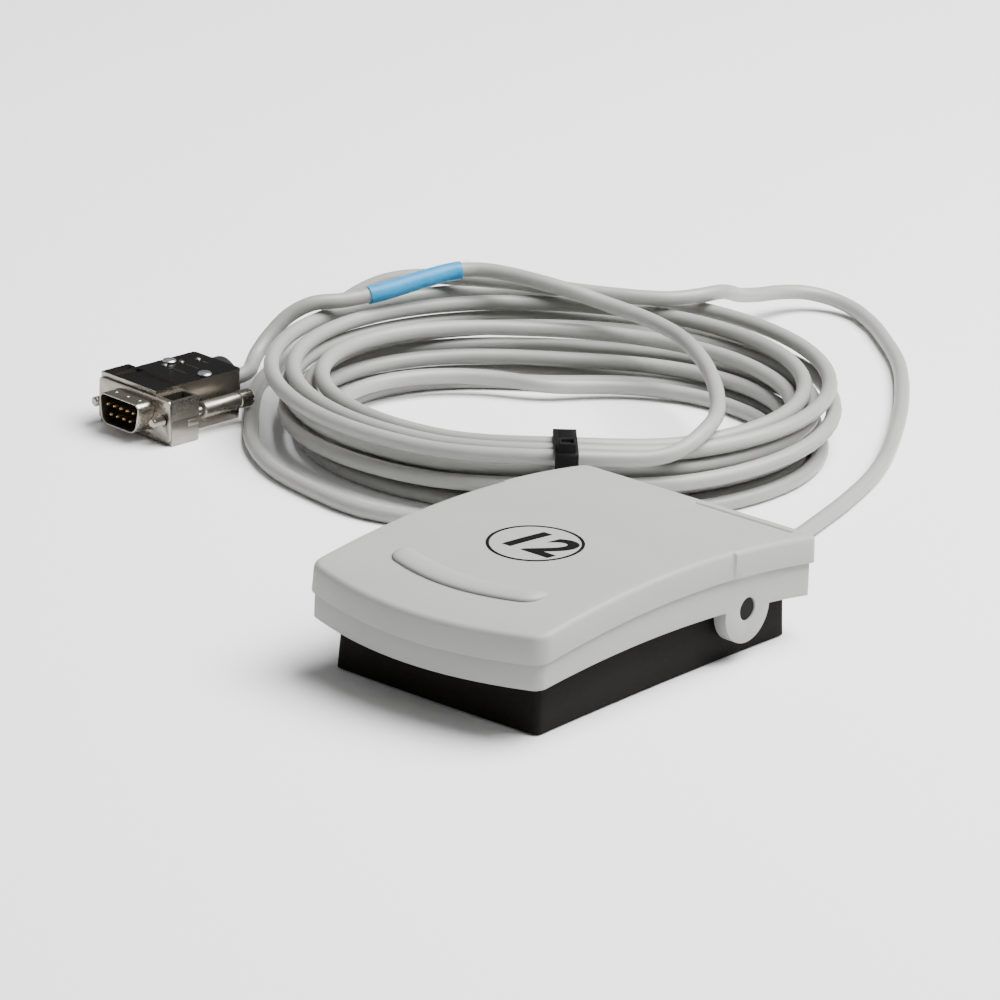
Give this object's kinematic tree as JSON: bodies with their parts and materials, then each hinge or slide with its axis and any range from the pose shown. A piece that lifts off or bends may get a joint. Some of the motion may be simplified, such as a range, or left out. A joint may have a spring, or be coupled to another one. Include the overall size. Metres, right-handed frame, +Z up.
{
  "type": "foot switch",
  "caption": "Low single-pedal foot switch with an arched hinged lid on a tub base, and a long coiled lead that ends in a screw-lock plug.",
  "frame": {"origin": "On the floor under the feet, below the middle of the lid's length and width.", "axes": "+Z is up, +Y runs from the toe of the pedal to its hinge end, and +X is to the right when looking along +Y."},
  "size_m": [0.2557, 0.3555, 0.0338],
  "materials": {
    "base_plastic": "fine textured near-black plastic",
    "lid_plastic": "satin light warm grey plastic",
    "black_plastic": "smooth black plastic",
    "red_plastic": "smooth red plastic",
    "black_rubber": "soft matt black rubber",
    "bright_steel": "zinc-plated steel",
    "gold_brass": "gold-flashed contacts",
    "nickel_plate": "bright nickel plate",
    "wire_jacket": "smooth vinyl",
    "cable_jacket": "smooth pale grey vinyl",
    "blue_label": "blue printed label",
    "clear_sleeve": "clear shrunk sleeve"
  },
  "bodies": {
    "housing": {"base_housing": "base_plastic", "rubber_feet": "black_rubber", "stop_pads": "black_rubber", "pivot_shaft": "bright_steel", "pivot_caps": "black_plastic", "switch_bracket": "bright_steel", "bracket_screws": "bright_steel", "microswitch_case": "black_plastic", "microswitch_terminals": "gold_brass", "microswitch_screws": "bright_steel", "lead_wires": "wire_jacket", "inner_lead": "cable_jacket", "clamp_bar": "bright_steel", "clamp_screws": "bright_steel", "cable_gland": "black_rubber", "return_spring": "bright_steel", "cable_lead": "cable_jacket", "cable_coil": "cable_jacket", "cable_tail": "cable_jacket", "cable_tie": "black_plastic", "marker_label": "blue_label", "label_sleeve": "clear_sleeve", "plug_grommet": "black_rubber", "hood_upper": "nickel_plate", "hood_lower": "nickel_plate", "hood_screws": "bright_steel", "dsub_shell": "nickel_plate", "dsub_insert": "black_plastic", "dsub_pins": "gold_brass"},
    "pedal": {"pedal_frame": "lid_plastic", "actuator_screw": "bright_steel", "actuator_nut": "bright_steel", "top_cover": "lid_plastic", "cover_screws": "bright_steel"},
    "plunger": {"microswitch_plunger": "red_plastic"},
    "right_thumbscrew": {"thumbscrew_right": "nickel_plate"},
    "left_thumbscrew": {"thumbscrew_left": "nickel_plate"}
  },
  "joints": [
    {"name": "pedal_hinge", "type": "hinge", "parent": "housing", "child": "pedal", "pos_m": [0, 0.0325, 0.0148], "axis": [1, 0, 0], "range_deg": [0, 4], "stiffness_Nm_per_rad": 7.3, "springref_deg": -5.16, "deforming": ["return_spring"]},
    {"name": "plunger_slide", "type": "slide", "parent": "housing", "child": "plunger", "axis": [0, 0, -1], "range_m": [0, 0.0016]},
    {"name": "right_thumbscrew_turn", "type": "hinge", "parent": "housing", "child": "right_thumbscrew", "pos_m": [-0.18715, 0.04881, 0.0076], "axis": [0.0872, 0.9962, 0], "continuous": true},
    {"name": "left_thumbscrew_turn", "type": "hinge", "parent": "housing", "child": "left_thumbscrew", "pos_m": [-0.21205, 0.05099, 0.0076], "axis": [0.0872, 0.9962, 0], "continuous": true}
  ],
  "couplings": [
    {"joint": "plunger_slide", "follows": "pedal_hinge", "m_per_rad": 0.022}
  ]
}
